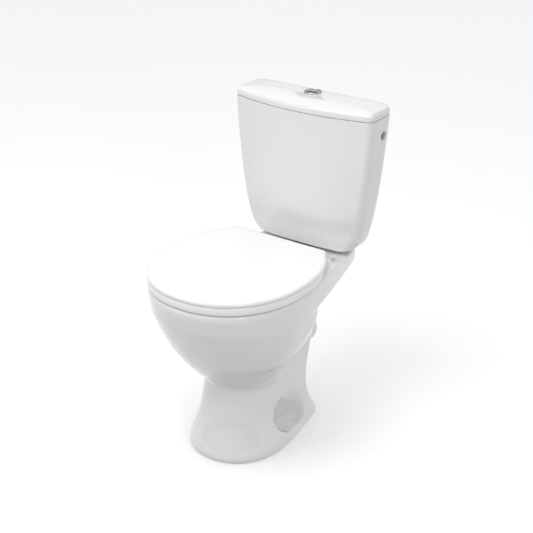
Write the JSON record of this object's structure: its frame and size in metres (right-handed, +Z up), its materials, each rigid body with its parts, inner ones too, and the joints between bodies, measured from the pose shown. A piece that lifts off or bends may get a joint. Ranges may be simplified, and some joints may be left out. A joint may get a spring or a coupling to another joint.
{
  "type": "close coupled toilet",
  "caption": "White ceramic pan with a coupled cistern, a domed cistern lid with a dual flush button, and a hinged plastic seat ring and lid.",
  "frame": {"origin": "on the floor, under the middle of the object's width and depth", "axes": "-Y is the front of the pan, +Y the wall side, +X the right hand side seen from the front, +Z up"},
  "size_m": [0.373, 0.548, 0.767],
  "materials": {
    "glazed_ceramic": "smooth white gloss glaze",
    "seat_plastic": "white gloss moulding",
    "chrome": "polished chrome plate",
    "steel": "plain stainless steel",
    "brass": "machined brass",
    "rubber": "black moulded rubber",
    "white_plastic": "white moulded plastic",
    "blue_plastic": "blue moulded plastic"
  },
  "bodies": {
    "fixed_parts": {"pan": "glazed_ceramic", "cistern_tank": "glazed_ceramic", "hinge_post_left": "white_plastic", "hinge_post_right": "white_plastic", "hinge_pin_left": "steel", "hinge_pin_right": "steel", "seat_bolt_left": "steel", "seat_bolt_right": "steel", "seat_bush_left": "rubber", "seat_bush_right": "rubber", "seat_nut_left": "brass", "seat_nut_right": "brass", "flush_valve_base": "white_plastic", "valve_washer": "rubber", "valve_backnut": "white_plastic", "tank_gasket": "rubber", "valve_cage": "white_plastic", "valve_head": "white_plastic", "full_rocker_pin": "steel", "half_rocker_pin": "steel", "fill_valve_body": "brass", "fill_valve_washer": "rubber", "fill_valve_backnut": "brass", "fill_silencer_tube": "white_plastic", "float_arm_pin": "steel", "cistern_bolt_left": "steel", "cistern_bolt_right": "steel", "bolt_seal_left": "rubber", "bolt_seal_right": "rubber", "bolt_washer_left": "steel", "bolt_washer_right": "steel", "wing_nut_left": "steel", "wing_nut_right": "steel"},
    "seat_ring": {"seat_ring": "seat_plastic", "ring_buffer_1": "rubber", "ring_buffer_2": "rubber", "ring_buffer_3": "rubber", "ring_buffer_4": "rubber"},
    "seat_lid": {"seat_lid": "seat_plastic", "lid_buffer_1": "rubber", "lid_buffer_2": "rubber"},
    "cistern_lid": {"cistern_lid": "glazed_ceramic", "button_bezel": "chrome", "button_nut": "white_plastic", "full_flush_spring": "steel", "half_flush_spring": "steel"},
    "full_button": {"full_flush_button": "chrome", "full_flush_rod": "white_plastic"},
    "half_button": {"half_flush_button": "chrome", "half_flush_rod": "white_plastic"},
    "full_rocker": {"full_flush_rocker": "white_plastic"},
    "half_rocker": {"half_flush_rocker": "white_plastic"},
    "overflow": {"overflow_tube": "blue_plastic", "flush_seal": "rubber", "flush_float": "white_plastic"},
    "inlet_float_arm": {"float_arm": "white_plastic", "inlet_float": "blue_plastic", "float_screw": "brass"},
    "inlet_plunger": {"inlet_plunger": "white_plastic"}
  },
  "joints": [
    {"name": "seat_ring_hinge", "type": "hinge", "parent": "fixed_parts", "child": "seat_ring", "pos_m": [0, 0.105, 0.4305], "axis": [1, 0, 0], "range_deg": [-93, 0]},
    {"name": "seat_lid_hinge", "type": "hinge", "parent": "seat_ring", "child": "seat_lid", "pos_m": [0, 0.105, 0.4305], "axis": [-1, 0, 0], "range_deg": [0, 93]},
    {"name": "cistern_lid_lift", "type": "slide", "parent": "fixed_parts", "child": "cistern_lid", "axis": [0, 0, 1], "range_m": [0, 0.12]},
    {"name": "full_button_press", "type": "slide", "parent": "cistern_lid", "child": "full_button", "axis": [0, 0, -1], "range_m": [0, 0.005], "stiffness_N_per_m": 250, "springref_m": -0.004, "deforming": ["full_flush_spring"]},
    {"name": "half_button_press", "type": "slide", "parent": "cistern_lid", "child": "half_button", "axis": [0, 0, -1], "range_m": [0, 0.005], "stiffness_N_per_m": 250, "springref_m": -0.004, "deforming": ["half_flush_spring"]},
    {"name": "full_rocker_turn", "type": "hinge", "parent": "fixed_parts", "child": "full_rocker", "pos_m": [-0.0115, 0.223, 0.658], "axis": [1, 0, 0], "range_deg": [0, 28.7]},
    {"name": "half_rocker_turn", "type": "hinge", "parent": "fixed_parts", "child": "half_rocker", "pos_m": [0.0115, 0.223, 0.658], "axis": [1, 0, 0], "range_deg": [0, 28.7]},
    {"name": "overflow_lift", "type": "slide", "parent": "fixed_parts", "child": "overflow", "axis": [0, 0, 1], "range_m": [0, 0.0076]},
    {"name": "float_arm_turn", "type": "hinge", "parent": "fixed_parts", "child": "inlet_float_arm", "pos_m": [-0.112, 0.234, 0.685], "axis": [0, -1, 0], "range_deg": [0, 25]},
    {"name": "inlet_plunger_slide", "type": "slide", "parent": "fixed_parts", "child": "inlet_plunger", "axis": [-1, 0, 0], "range_m": [0, 0.0047]}
  ],
  "couplings": [
    {"joint": "full_rocker_turn", "follows": "full_button_press", "rad_per_m": 100},
    {"joint": "half_rocker_turn", "follows": "half_button_press", "rad_per_m": 100},
    {"joint": "overflow_lift", "follows": "full_button_press", "ratio": 1.5},
    {"joint": "inlet_plunger_slide", "follows": "float_arm_turn", "m_per_rad": 0.0105}
  ]
}
